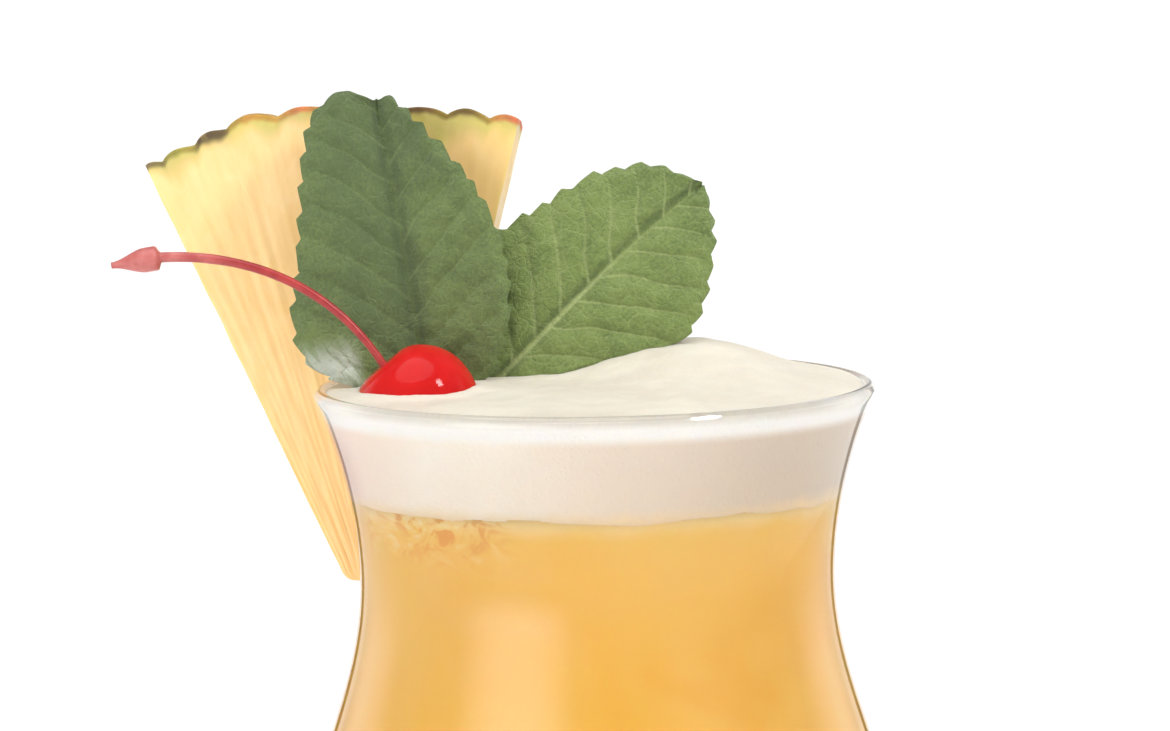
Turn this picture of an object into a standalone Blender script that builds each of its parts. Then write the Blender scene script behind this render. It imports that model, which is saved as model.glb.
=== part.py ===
"""A mai tai: a footed hurricane glass of cloudy amber juice under a thick cream foam, dressed with a
pineapple wedge slit onto the rim, two mint leaves and a stemmed cherry.

Metres, +Z up. The origin is the centre of the foot's flat underside, and -Y faces the viewer.
"""

import math

import bmesh
import bpy
from mathutils import Matrix, Vector

MM = 0.001
GAP = 0.3 * MM  # clearance between touching pieces

# The glass. Heights are above the table, and radii are of the outer wall.
GLASS_HEIGHT = 190 * MM
RIM_RADIUS = 40.2 * MM
WALL = 1.9 * MM
WAIST_RADIUS = 33.8 * MM
WAIST_HEIGHT = 162.5 * MM
RIM_FLARE = 1.9
BELLY_RADIUS = 43 * MM
BELLY_HEIGHT = 118 * MM
BOWL_FOOT_HEIGHT = 37 * MM
BOWL_TAPER = 1.25
BOWL_FLOOR = 48 * MM
FLOOR_ROUNDING = 9 * MM
STEM_RADIUS = 6.6 * MM
STEM_FOOT_HEIGHT = 27 * MM
FOOT_RADIUS = 37 * MM
FOOT_EDGE = 3.6 * MM
FOOT_BEVEL = 1.2 * MM
FOOT_FLARE = 3.2
TURN_STEPS = 40

# The fill: juice up to the foam's lower face, then foam heaped over the rim.
JUICE_LEVEL = GLASS_HEIGHT - 15.7 * MM
FOAM_EDGE_DROP = 0.7 * MM
FOAM_CROWN = 1.0 * MM
MOUND_HEIGHT = 5.3 * MM
MOUND_CENTRE = (13.5 * MM, 7 * MM)
MOUND_SPREAD = (14 * MM, 15 * MM)

# The pineapple wedge. Its outline is drawn from the slice's centre, with the rind at the top.
SLICE_RADIUS = 81.6 * MM
CORE_RADIUS = 14.0 * MM
WEDGE_HALF_ANGLE = math.radians(19.4)
WEDGE_THICKNESS = 12 * MM
WEDGE_LEAN = math.radians(5.3)
WEDGE_YAW = math.radians(4)
WEDGE_APEX = Vector((-30.0 * MM, 19.1 * MM, GLASS_HEIGHT - 43.4 * MM))
WEDGE_CORNER = 2.0 * MM
# Each eye of the rind: its start as a share of the arc, then how far the notch there and the eye's own
# top stand above SLICE_RADIUS, in millimetres.
RIND_EYES = (
    (-0.02, -1.7, -0.6),
    (0.045, -1.3, -0.3),
    (0.145, -0.7, 0.4),
    (0.235, 0.0, 1.2),
    (0.365, 0.0, 0.7),
    (0.52, -0.5, 0.2),
    (0.66, -0.9, -0.1),
    (0.815, -0.9, 0.4),
    (0.925, -0.6, 0.6),
    (1.03, -1.0, -1.0),
)
EYE_STEPS = 5
RIND_BULGE = 0.5 * MM

# The cherry lies half sunk in the foam, and its stem arches out to the left.
CHERRY_RADIUS = 8.7 * MM
CHERRY_CENTRE = Vector((-24.8 * MM, -5.8 * MM, GLASS_HEIGHT - 2.1 * MM))
STEM_DIRECTION = Vector((-0.64, 0.0, 0.77)).normalized()
DIMPLE_DEPTH = 1.3 * MM
DIMPLE_WIDTH = 0.42
STEM_ROUTE = (
    Vector((-35.9 * MM, -5.8 * MM, GLASS_HEIGHT + 14.2 * MM)),
    Vector((-47.0 * MM, -5.6 * MM, GLASS_HEIGHT + 19.8 * MM)),
    Vector((-60.4 * MM, -5.4 * MM, GLASS_HEIGHT + 19.3 * MM)),
)
STEM_THIN = 0.62 * MM
STEM_THICK = 0.8 * MM
KNOB_RADIUS = 1.75 * MM
KNOB_LENGTH = 7.0 * MM
KNOB_TIP_RADIUS = 0.45 * MM

# The mint leaves.
LEAF_THICKNESS = 0.8 * MM
LEAF_CLEARANCE = 0.45 * MM
LEAF_ROWS = 36
LEAF_COLUMNS = 8
TEETH_PER_SIDE = 12
TOOTH_DEPTH = 0.045
LEAF_BASE_WIDTH = 0.7 * MM
LEAF_TIP_WIDTH = 0.45 * MM
# Each leaf's midrib is a curve from base to tip, in millimetres from the rim's centre. Each margin is a
# curve in the blade: a share of the midrib's length, and millimetres out from it, at two handles. It is
# drawn in by the share "straight" halfway along.
LEAF_LEFT = {
    "midrib": (
        Vector((-24.2, 5.6, -3.4)),
        Vector((-25.2, 5.2, 9.0)),
        Vector((-28.2, 6.2, 28.0)),
        Vector((-30.5, 8.6, 40.4)),
    ),
    "facing": Vector((0.0, -1.0, 0.1)),
    "margins": (((0.05, 39.5), (1.22, 14.5)), ((-0.02, 23.4), (0.8, 14.4))),
    "straight": (0.27, 0.0),
    "folds": (math.radians(20), math.radians(20)),
    "wave": 0.6,
}
LEAF_RIGHT = {
    "midrib": (
        Vector((-15.6, 5.4, -2.0)),
        Vector((-5.2, 5.6, 7.0)),
        Vector((6.0, 6.8, 16.8)),
        Vector((16.9, 9.6, 24.8)),
    ),
    "facing": Vector((-0.05, -1.0, 0.2)),
    "margins": (((0.1, 25.5), (1.05, 16.5)), ((0.25, 7.2), (0.75, 22.0))),
    "straight": (0.0, 0.0),
    "folds": (math.radians(-3), math.radians(8)),
    "wave": 0.7,
}


def clear_scene():
    for item in list(bpy.data.objects):
        bpy.data.objects.remove(item, do_unlink=True)


def collection(name):
    made = bpy.data.collections.new(name)
    bpy.context.scene.collection.children.link(made)
    return made


def material(name, colour, roughness, transmission=0.0):
    made = bpy.data.materials.new(name)
    made.use_nodes = True
    shader = made.node_tree.nodes["Principled BSDF"]
    shader.inputs["Base Color"].default_value = (*colour, 1.0)
    shader.inputs["Roughness"].default_value = roughness
    shader.inputs["Metallic"].default_value = 0.0
    shader.inputs["Transmission Weight"].default_value = transmission
    return made


def link_mesh(name, mesh, group, finish=None):
    item = bpy.data.objects.new(name, mesh)
    group.objects.link(item)
    if finish:
        mesh.materials.append(finish)
    return item


def as_helper(item):
    item.hide_render = True
    item.display_type = "WIRE"
    return item


def evaluated_mesh(item):
    """A plain mesh of the object as its modifiers make it, in world space, which then replaces the object."""
    graph = bpy.context.evaluated_depsgraph_get()
    graph.update()
    mesh = bpy.data.meshes.new_from_object(item.evaluated_get(graph))
    mesh.transform(item.matrix_world)
    bpy.data.objects.remove(item, do_unlink=True)
    return mesh


def cut(item, cutter):
    """Takes the cutter's shape out of the object."""
    step = item.modifiers.new("cut by " + cutter.name, "BOOLEAN")
    step.operation = "DIFFERENCE"
    step.solver = "MANIFOLD"
    step.object = cutter


def turned(name, profile, group, finish=None, ring=False):
    """A solid of revolution about Z. The profile of (radius, height) runs from the axis up the inner
    side, over the top and down the outer side, back to the axis. A ring's profile closes on itself."""
    mesh = bpy.data.meshes.new(name)
    points = [(radius, 0.0, height) for radius, height in profile]
    edges = [(i, i + 1) for i in range(len(points) - 1)]
    if ring:
        edges.append((len(points) - 1, 0))
    mesh.from_pydata(points, edges, [])
    item = link_mesh(name, mesh, group, finish)
    screw = item.modifiers.new("turn", "SCREW")
    screw.axis = "Z"
    screw.steps = TURN_STEPS
    screw.render_steps = TURN_STEPS
    screw.use_merge_vertices = True
    screw.merge_threshold = 0.00001
    screw.use_smooth_shade = True
    return item


def spread(low, high, count):
    """count values from low to high, both included."""
    return [low + (high - low) * i / (count - 1) for i in range(count)]


def bezier(points, u):
    """The point at u on the cubic curve through four control points, and its direction there."""
    a, b, c, d = points
    w = 1.0 - u
    place = a * w**3 + b * (3 * w * w * u) + c * (3 * w * u * u) + d * u**3
    heading = (b - a) * (w * w) + (c - b) * (2 * w * u) + (d - c) * (u * u)
    return place, heading.normalized()


def outer_radius(height):
    """The outer wall: a flare from the rim to the waist, a cosine to the belly, then a sine taper."""
    if height >= WAIST_HEIGHT:
        share = (height - WAIST_HEIGHT) / (GLASS_HEIGHT - WAIST_HEIGHT)
        return WAIST_RADIUS + (RIM_RADIUS - WAIST_RADIUS) * share**RIM_FLARE
    if height >= BELLY_HEIGHT:
        share = (WAIST_HEIGHT - height) / (WAIST_HEIGHT - BELLY_HEIGHT)
        return WAIST_RADIUS + (BELLY_RADIUS - WAIST_RADIUS) * (1 - math.cos(math.pi * share)) / 2
    share = max(0.0, height - BOWL_FOOT_HEIGHT) / (BELLY_HEIGHT - BOWL_FOOT_HEIGHT)
    return STEM_RADIUS + (BELLY_RADIUS - STEM_RADIUS) * math.sin(math.pi / 2 * share) ** BOWL_TAPER


def inner_radius(height):
    """The inner wall, one wall thickness in, rounded off at the bowl's floor."""
    step = 0.5 * MM
    slope = (outer_radius(height) - outer_radius(height - step)) / step
    wall = WALL * math.sqrt(1 + slope * slope)
    rise = min(1.0, max(0.0, (height - BOWL_FLOOR) / FLOOR_ROUNDING))
    return (outer_radius(height) - wall) * math.sqrt(1 - (1 - rise) ** 2)


def floor_heights():
    """Heights up the rounded floor of the bowl, closer together near the axis."""
    return [BOWL_FLOOR + FLOOR_ROUNDING * share for share in (0.04, 0.16, 0.4, 0.75)]


def wall_heights(top):
    """Heights up the inner wall from the bowl's floor to top."""
    heights = floor_heights() + spread(BOWL_FLOOR + 15 * MM, WAIST_HEIGHT, 9)
    heights += spread(WAIST_HEIGHT, GLASS_HEIGHT, 6)[1:]
    return [h for h in heights if h < top - 1.5 * MM] + [top]


def glass_profile():
    lip = WALL / 2
    lip_height = GLASS_HEIGHT - lip
    inner = [(inner_radius(h), h) for h in wall_heights(lip_height)]
    lip_centre = inner[-1][0] + lip
    arc = [
        (lip_centre - lip * math.cos(a), lip_height + lip * math.sin(a))
        for a in spread(0, math.pi, 7)[1:-1]
    ]
    outer = [(outer_radius(h), h) for h in spread(lip_height, WAIST_HEIGHT, 7)]
    outer += [(outer_radius(h), h) for h in spread(WAIST_HEIGHT, BELLY_HEIGHT, 7)[1:]]
    outer += [(outer_radius(h), h) for h in spread(BELLY_HEIGHT, BOWL_FOOT_HEIGHT, 10)[1:]]
    foot = []
    for share in spread(0, 1, 11):
        radius = STEM_RADIUS + (FOOT_RADIUS - STEM_RADIUS) * share
        height = FOOT_EDGE + (STEM_FOOT_HEIGHT - FOOT_EDGE) * (1 - share) ** FOOT_FLARE
        foot.append((radius, height))
    edge = [
        (FOOT_RADIUS + FOOT_BEVEL * 0.6, FOOT_EDGE - FOOT_BEVEL),
        (FOOT_RADIUS + FOOT_BEVEL * 0.3, FOOT_BEVEL * 0.5),
        (FOOT_RADIUS - FOOT_BEVEL, 0.0),
    ]
    return [(0.0, BOWL_FLOOR)] + inner + arc + outer + foot + edge + [(0.0, 0.0)]


def wall_cutter(group):
    """The rim's wall, grown by the gap, as a ring that slits what sits astride it."""
    low = WAIST_HEIGHT - 20 * MM
    inside = [(inner_radius(h) - GAP, h) for h in spread(low, GLASS_HEIGHT, 12)]
    outside = [(outer_radius(h) + GAP, h) for h in spread(GLASS_HEIGHT, low, 12)]
    top = GLASS_HEIGHT + GAP
    crown = [(inside[-1][0], top), (outside[0][0], top)]
    profile = inside[:-1] + crown + outside[1:]
    return as_helper(turned("rim_slit_cutter", profile, group, ring=True))


def foam_rise(x, y):
    """The foam's top, measured up from the rim: a low crown all over and a mound right of the middle."""
    reach = min(1.0, math.hypot(x, y) / RIM_RADIUS)
    east = (x - MOUND_CENTRE[0]) / MOUND_SPREAD[0]
    north = (y - MOUND_CENTRE[1]) / MOUND_SPREAD[1]
    mound = MOUND_HEIGHT * math.exp(-(east * east + north * north))
    return FOAM_CROWN * (1 - reach**4) - FOAM_EDGE_DROP + mound


def filled(radius, height):
    """A point of the fill's side, one gap inside the inner wall."""
    return (max(0.0, radius - GAP), height)


def make_juice(group):
    heights = wall_heights(JUICE_LEVEL)
    side = [filled(inner_radius(h), h) for h in reversed(heights)]
    profile = [(0.0, JUICE_LEVEL)] + side + [(0.0, BOWL_FLOOR + GAP)]
    return turned("juice", profile, group, material("juice amber", (0.83, 0.46, 0.085), 0.25))


def make_foam(group):
    bottom = JUICE_LEVEL + GAP
    top = GLASS_HEIGHT - FOAM_EDGE_DROP
    edge = inner_radius(top) - GAP
    surface = [(edge * share, top) for share in spread(0, 1, 9)]
    side = [filled(inner_radius(h), h) for h in spread(top, bottom, 6)[1:]]
    item = turned("foam_body", surface + side + [(0.0, bottom)], group)
    mesh = evaluated_mesh(item)
    mesh.name = "foam"
    for vertex in mesh.vertices:
        if vertex.co.z > top - 0.1 * MM:
            vertex.co.z = GLASS_HEIGHT + foam_rise(vertex.co.x, vertex.co.y)
    mesh.shade_smooth()
    return link_mesh("foam", mesh, group, material("foam cream", (0.9, 0.84, 0.72), 0.6))


def rind_radius(share, grow=0.0):
    """How far the rind stands from the slice's centre at a share of its arc, scalloped at each eye."""
    for (low, notch, top), (high, next_notch, _) in zip(RIND_EYES, RIND_EYES[1:]):
        if share <= high:
            inside = (share - low) / (high - low)
            floor = notch + (next_notch - notch) * inside
            return SLICE_RADIUS + grow + (floor + (top - floor) * math.sin(math.pi * inside) ** 0.7) * MM
    return SLICE_RADIUS + grow + RIND_EYES[-1][1] * MM


def wedge_outline(grow=0.0):
    """The wedge's face from its core end, up the left cut, along the rind and down the right cut."""
    half = WEDGE_HALF_ANGLE
    apex_drop = grow / math.sin(half)
    tip = CORE_RADIUS - grow + apex_drop
    core = [
        (tip * math.sin(half) * 0.55, tip * math.cos(half)),
        (-tip * math.sin(half) * 0.55, tip * math.cos(half)),
    ]
    shoulder = tip + WEDGE_CORNER
    left = [(-shoulder * math.sin(half), shoulder * math.cos(half))]
    rind = [0.0, 1.0]
    for eye, following in zip(RIND_EYES, RIND_EYES[1:]):
        rind += [share for share in spread(eye[0], following[0], EYE_STEPS)[:-1] if 0.01 < share < 0.99]
    arc = []
    for share in sorted(rind):
        angle = half * (2 * share - 1)
        reach = rind_radius(share, grow) + apex_drop
        arc.append((reach * math.sin(angle), reach * math.cos(angle)))
    right = [(shoulder * math.sin(half), shoulder * math.cos(half))]
    return [(x, y - apex_drop) for x, y in core + left + arc + right]


def wedge_placement():
    """From the drawn outline, where the rind is up +Y, to the wedge standing on the rim."""
    upright = Matrix.Rotation(math.pi / 2, 4, "X")
    lean = Matrix.Rotation(-WEDGE_LEAN, 4, "Y")
    yaw = Matrix.Rotation(-WEDGE_YAW, 4, "Z")
    return Matrix.Translation(WEDGE_APEX) @ yaw @ lean @ upright


def wedge_mesh(name, grow, group):
    """The wedge as an extruded outline whose rind bulges between its two cut faces."""
    curve = bpy.data.curves.new(name, "CURVE")
    curve.dimensions = "2D"
    curve.fill_mode = "BOTH"
    curve.extrude = WEDGE_THICKNESS / 2 + grow
    points = wedge_outline(grow)
    spline = curve.splines.new("POLY")
    spline.points.add(len(points) - 1)
    for point, (x, y) in zip(spline.points, points):
        point.co = (x, y, 0.0, 1.0)
    spline.use_cyclic_u = True
    item = bpy.data.objects.new(name, curve)
    group.objects.link(item)
    mesh = evaluated_mesh(item)
    body = bmesh.new()
    body.from_mesh(mesh)
    bmesh.ops.remove_doubles(body, verts=body.verts, dist=0.00001)
    for level in (-0.25, 0.25):
        geometry = body.verts[:] + body.edges[:] + body.faces[:]
        plane = (0, 0, WEDGE_THICKNESS * level)
        bmesh.ops.bisect_plane(body, geom=geometry, dist=0.000001, plane_co=plane, plane_no=(0, 0, 1))
    for vertex in body.verts:
        flat = vertex.co.xy.length
        inward = abs(vertex.co.z) < WEDGE_THICKNESS * 0.3
        if inward and flat > SLICE_RADIUS * 0.9:
            vertex.co.xy *= (flat + RIND_BULGE) / flat
    body.to_mesh(mesh)
    body.free()
    mesh.name = name
    mesh.transform(wedge_placement())
    return mesh


def make_wedge(group, helpers):
    finish = material("pineapple flesh", (0.93, 0.74, 0.3), 0.4)
    item = link_mesh("pineapple_wedge", wedge_mesh("pineapple_wedge", 0.0, group), group, finish)
    cut(item, wall_cutter(helpers))
    return item


def sphere(name, radius, centre, rings, group, finish=None):
    mesh = bpy.data.meshes.new(name)
    body = bmesh.new()
    bmesh.ops.create_uvsphere(body, u_segments=rings * 2, v_segments=rings, radius=radius)
    body.to_mesh(mesh)
    body.free()
    turn = Vector((0, 0, 1)).rotation_difference(STEM_DIRECTION).to_matrix().to_4x4()
    mesh.transform(Matrix.Translation(centre) @ turn)
    mesh.shade_smooth()
    return link_mesh(name, mesh, group, finish)


def make_cherry(group):
    """A round cherry, dimpled where its stem grows."""
    finish = material("cherry red", (0.8, 0.03, 0.03), 0.12)
    item = sphere("cherry", CHERRY_RADIUS, CHERRY_CENTRE, 14, group, finish)
    for vertex in item.data.vertices:
        outward = (vertex.co - CHERRY_CENTRE).normalized()
        angle = outward.angle(STEM_DIRECTION)
        vertex.co -= outward * DIMPLE_DEPTH * math.exp(-((angle / DIMPLE_WIDTH) ** 2))
    return item


def make_stem(group):
    """The stem as one tapering tube that ends in the broad knob it was picked by."""
    start = CHERRY_CENTRE + STEM_DIRECTION * (CHERRY_RADIUS - DIMPLE_DEPTH + GAP)
    route = (start, *STEM_ROUTE)
    stations = []
    for u in spread(0, 1, 15):
        stations.append((bezier(route, u)[0], STEM_THIN + (STEM_THICK - STEM_THIN) * u))
    end, heading = bezier(route, 1.0)
    for along, radius in ((0.04, KNOB_RADIUS), (0.45, KNOB_RADIUS * 0.9), (1.0, KNOB_TIP_RADIUS)):
        droop = Vector((0, 0, -0.8 * MM)) * along
        stations.append((end + heading * KNOB_LENGTH * along + droop, radius))
    curve = bpy.data.curves.new("cherry_stem", "CURVE")
    curve.dimensions = "3D"
    curve.bevel_depth = 1.0
    curve.bevel_resolution = 2
    curve.use_fill_caps = True
    spline = curve.splines.new("POLY")
    spline.points.add(len(stations) - 1)
    for point, (place, radius) in zip(spline.points, stations):
        point.co = (*place, 1.0)
        point.radius = radius
    item = bpy.data.objects.new("cherry_stem", curve)
    group.objects.link(item)
    curve.materials.append(material("cherry stem", (0.5, 0.1, 0.07), 0.4))
    return item


def leaf_point(spec, u, v, grow):
    """A point of the blade: u runs from base to tip, and v from the left margin, -1, to the right, 1.
    Growth widens the blade, and moves its lower margin down past the base."""
    midrib = [Vector(p) * MM + Vector((0, 0, GLASS_HEIGHT)) for p in spec["midrib"]]
    length = (midrib[3] - midrib[0]).length
    half = 1 if v > 0 else 0
    (first_along, first_out), (second_along, second_out) = spec["margins"][half]
    margin = (
        Vector((0.0, LEAF_BASE_WIDTH)),
        Vector((first_along, first_out * MM)),
        Vector((second_along, second_out * MM)),
        Vector((1.0, LEAF_TIP_WIDTH)),
    )
    along, out = bezier(margin, u)[0]
    share = min(1.0, max(0.0, along))
    out *= 1 - 4 * spec["straight"][half] * share * (1 - share)
    tooth = 1 + TOOTH_DEPTH * math.cos(2 * math.pi * TEETH_PER_SIDE * u) * abs(v) ** 6
    station = u + (along - u) * abs(v) - 1.6 * grow / length * (1 - u) ** 3
    place, heading = bezier(midrib, station)
    right = heading.cross(spec["facing"]).normalized()
    toward = right.cross(heading).normalized()
    side = right if v > 0 else -right
    reach = abs(v) * (out * tooth + grow)
    fold = spec["folds"][half]
    ripple = spec["wave"] * MM * math.sin(7.5 * u + 1.3 * half) * v * v
    return place + side * (reach * math.cos(fold)) + toward * (reach * math.sin(fold) + ripple)


def leaf_mesh(name, spec, grow):
    """The blade as a grid bent to its form and split into triangles, so that both faces split alike."""
    mesh = bpy.data.meshes.new(name)
    body = bmesh.new()
    bmesh.ops.create_grid(body, x_segments=LEAF_COLUMNS, y_segments=LEAF_ROWS, size=1.0)
    for vertex in body.verts:
        v, u = vertex.co.x, (vertex.co.y + 1) / 2
        vertex.co = leaf_point(spec, u, v, grow)
    bmesh.ops.triangulate(body, faces=body.faces)
    body.to_mesh(mesh)
    body.free()
    mesh.shade_smooth()
    return mesh


def thicken(item, thickness):
    shell = item.modifiers.new("thickness", "SOLIDIFY")
    shell.thickness = thickness
    shell.offset = 0.0
    return item


def make_leaf(name, spec, group, finish):
    return thicken(link_mesh(name, leaf_mesh(name, spec, 0.0), group, finish), LEAF_THICKNESS)


def make_cutters(group):
    """Each garnish grown by the gap, to open its seat in the foam and the juice."""
    cherry = sphere("cherry_seat", CHERRY_RADIUS + GAP, CHERRY_CENTRE, 12, group)
    wedge = link_mesh("wedge_seat", wedge_mesh("wedge_seat", GAP, group), group)
    cutters = [as_helper(cherry), as_helper(wedge)]
    for name, spec in (("leaf_left_seat", LEAF_LEFT), ("leaf_right_seat", LEAF_RIGHT)):
        blade = link_mesh(name, leaf_mesh(name, spec, LEAF_CLEARANCE), group)
        cutters.append(as_helper(thicken(blade, LEAF_THICKNESS + 2 * LEAF_CLEARANCE)))
    return cutters


def main():
    clear_scene()
    parts = collection("mai_tai")
    helpers = collection("cutters")
    turned("glass", glass_profile(), parts, material("clear glass", (0.96, 0.97, 0.97), 0.02, 1.0))
    juice = make_juice(parts)
    foam = make_foam(parts)
    make_wedge(parts, helpers)
    make_cherry(parts)
    make_stem(parts)
    mint = material("mint green", (0.16, 0.27, 0.06), 0.5)
    make_leaf("mint_leaf_left", LEAF_LEFT, parts, mint)
    make_leaf("mint_leaf_right", LEAF_RIGHT, parts, mint)
    cutters = make_cutters(helpers)
    for cutter in cutters:
        cut(foam, cutter)
    cut(juice, cutters[1])


main()
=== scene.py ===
import math

import bmesh
import bpy
from mathutils import Matrix, Vector, noise


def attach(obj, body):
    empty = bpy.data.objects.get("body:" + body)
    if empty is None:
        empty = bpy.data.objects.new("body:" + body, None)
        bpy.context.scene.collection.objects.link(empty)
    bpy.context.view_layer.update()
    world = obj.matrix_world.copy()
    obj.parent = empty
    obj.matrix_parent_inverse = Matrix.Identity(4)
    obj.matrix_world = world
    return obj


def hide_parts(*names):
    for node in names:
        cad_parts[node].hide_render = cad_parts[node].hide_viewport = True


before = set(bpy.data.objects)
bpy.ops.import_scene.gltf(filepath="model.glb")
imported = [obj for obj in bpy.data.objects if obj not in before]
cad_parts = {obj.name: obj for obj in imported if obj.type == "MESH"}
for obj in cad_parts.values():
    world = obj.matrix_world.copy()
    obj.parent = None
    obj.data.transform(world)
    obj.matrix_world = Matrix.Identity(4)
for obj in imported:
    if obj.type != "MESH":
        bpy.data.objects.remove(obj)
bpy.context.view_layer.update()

MM = 0.001

# The glass, as its solid has it. Heights are above the table.
GLASS_HEIGHT = 190 * MM
RIM_RADIUS = 40.2 * MM
RIM_FLARE = 1.9
WALL = 1.9 * MM
WAIST_RADIUS = 33.8 * MM
WAIST_HEIGHT = 162.5 * MM
BELLY_RADIUS = 43 * MM
BELLY_HEIGHT = 118 * MM
BOWL_FOOT_HEIGHT = 37 * MM
BOWL_TAPER = 1.25
BOWL_FLOOR = 48 * MM
FLOOR_ROUNDING = 9 * MM
STEM_RADIUS = 6.6 * MM
STEM_FOOT_HEIGHT = 27 * MM
FOOT_RADIUS = 37 * MM
FOOT_EDGE = 3.6 * MM
FOOT_BEVEL = 1.2 * MM
FOOT_FLARE = 3.2
TURN_STEPS = 160
# How far the drink reaches into the wall, so that no air shows between them.
INTO_WALL = 0.15 * MM

JUICE_LEVEL = GLASS_HEIGHT - 15.7 * MM
JUICE_LAP = 1.2 * MM  # how far it runs on inside the foam
FOAM_EDGE_DROP = 0.7 * MM
FOAM_CROWN = 1.0 * MM
MOUND_HEIGHT = 5.3 * MM
MOUND_CENTRE = (13.5 * MM, 7 * MM)
MOUND_SPREAD = (14 * MM, 15 * MM)
FOAM_TURN_STEPS = 256
FOAM_OVER_WALL = 0.03 * MM  # how far the foam stands out from the juice
FOAM_TUCK = 0.1 * MM  # how far its lowest edge draws in behind the juice
FOAM_TUCK_HEIGHT = 0.9 * MM

SLICE_RADIUS = 81.6 * MM
CORE_RADIUS = 14.0 * MM
WEDGE_HALF_ANGLE = math.radians(19.4)
WEDGE_THICKNESS = 12 * MM
WEDGE_LEAN = math.radians(5.3)
WEDGE_YAW = math.radians(4)
WEDGE_APEX = Vector((-30.0 * MM, 19.1 * MM, GLASS_HEIGHT - 43.4 * MM))
# Each eye of the rind: its start along the arc, and the notch and the top above SLICE_RADIUS in mm.
RIND_EYES = (
    (-0.02, -1.7, -0.6),
    (0.045, -1.3, -0.3),
    (0.145, -0.7, 0.4),
    (0.235, 0.0, 1.2),
    (0.365, 0.0, 0.7),
    (0.52, -0.5, 0.2),
    (0.66, -0.9, -0.1),
    (0.815, -0.9, 0.4),
    (0.925, -0.6, 0.6),
    (1.03, -1.0, -1.0),
)
RIND_BULGE = 0.5 * MM
RIND_TILT = 2.2 * MM  # how much higher the rind stands at the slice's front than at its back
RIND_DROP = 0.25 * MM
CORE_ROUNDING = 2.2 * MM
CORE_NARROWING = 0.38  # the share of its width that the slice loses at the core
# The rind's colour along the arc, and how deep the green runs under it in mm.
SKIN = (
    (0.00, (120, 106, 84), 1.2),
    (0.03, (126, 116, 70), 2.2),
    (0.08, (150, 146, 66), 2.6),
    (0.135, (142, 128, 62), 2.0),
    (0.16, (86, 70, 56), 1.6),
    (0.22, (98, 84, 54), 1.8),
    (0.25, (176, 150, 66), 1.6),
    (0.30, (196, 146, 72), 2.4),
    (0.34, (188, 146, 66), 3.0),
    (0.38, (206, 160, 84), 1.6),
    (0.43, (224, 134, 84), 1.4),
    (0.48, (190, 140, 76), 2.0),
    (0.60, (140, 116, 60), 2.6),
    (0.70, (112, 88, 52), 3.6),
    (0.76, (128, 98, 60), 4.2),
    (0.80, (146, 124, 54), 4.4),
    (0.86, (112, 92, 44), 3.2),
    (0.92, (154, 130, 62), 2.4),
    (0.955, (214, 138, 80), 1.8),
    (1.00, (222, 118, 82), 1.6),
)

CHERRY_RADIUS = 8.7 * MM
CHERRY_CENTRE = Vector((-24.8 * MM, -5.8 * MM, GLASS_HEIGHT - 2.1 * MM))
STEM_DIRECTION = Vector((-0.64, 0.0, 0.77)).normalized()
DIMPLE_DEPTH = 1.3 * MM
DIMPLE_WIDTH = 0.42
STEM_ROUTE = (
    Vector((-35.9 * MM, -5.8 * MM, GLASS_HEIGHT + 14.2 * MM)),
    Vector((-47.0 * MM, -5.6 * MM, GLASS_HEIGHT + 19.8 * MM)),
    Vector((-60.4 * MM, -5.4 * MM, GLASS_HEIGHT + 19.3 * MM)),
)
STEM_THIN = 0.54 * MM
STEM_THICK = 0.72 * MM
KNOB_RADIUS = 1.75 * MM
KNOB_LENGTH = 7.0 * MM
KNOB_TIP_RADIUS = 0.45 * MM

LEAF_THICKNESS = 0.6 * MM
LEAF_LENGTH = 44.0  # in mm, the length by which margins and veins are laid out
LEAF_SHEET = 60 * MM  # the side of the square that the leaves' paint is laid out on
TOOTH_DEPTH = 1.15 * MM
VEIN_SPACING = 0.118  # as a share of the leaf's length
# Midribs are in mm from the rim's centre. Each margin runs from the leaf's base to its tip: a share of
# the midrib's length, and mm out from it. Folds and the strength of the painted shadow in the crease
# beside the midrib are left and right of the midrib, the wave is in mm, and the rib is the strength of
# its paint at the base, with what that loses to the tip.
LEAF_LEFT = {
    "midrib": (
        Vector((-24.2, 5.6, -3.4)),
        Vector((-25.2, 5.2, 9.0)),
        Vector((-28.2, 6.2, 28.0)),
        Vector((-30.5, 8.6, 40.4)),
    ),
    "facing": Vector((0.0, -1.0, 0.1)),
    "margins": (
        (
            (0.0, 0.7), (0.06, 7.0), (0.15, 13.8), (0.215, 16.8), (0.3, 18.1), (0.4, 17.7),
            (0.51, 16.2), (0.62, 15.0), (0.74, 13.7), (0.86, 12.3), (0.95, 10.6), (1.01, 8.2),
            (1.045, 5.2), (1.025, 2.4), (0.985, 0.4),
        ),
        (
            (0.0, 0.7), (0.03, 6.5), (0.09, 10.4), (0.18, 12.9), (0.29, 14.6), (0.4, 15.3),
            (0.5, 14.9), (0.6, 13.6), (0.7, 11.4), (0.79, 8.8), (0.87, 6.2), (0.94, 4.0),
            (1.0, 2.0), (0.985, 0.4),
        ),
    ),
    "folds": (math.radians(20), math.radians(20)),
    "wave": 0.6,
    "teeth": 16,
    "veins": 0.55,
    "crease": (0.35, 0.2),
    "rib": (0.2, 0.0),
}
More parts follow.
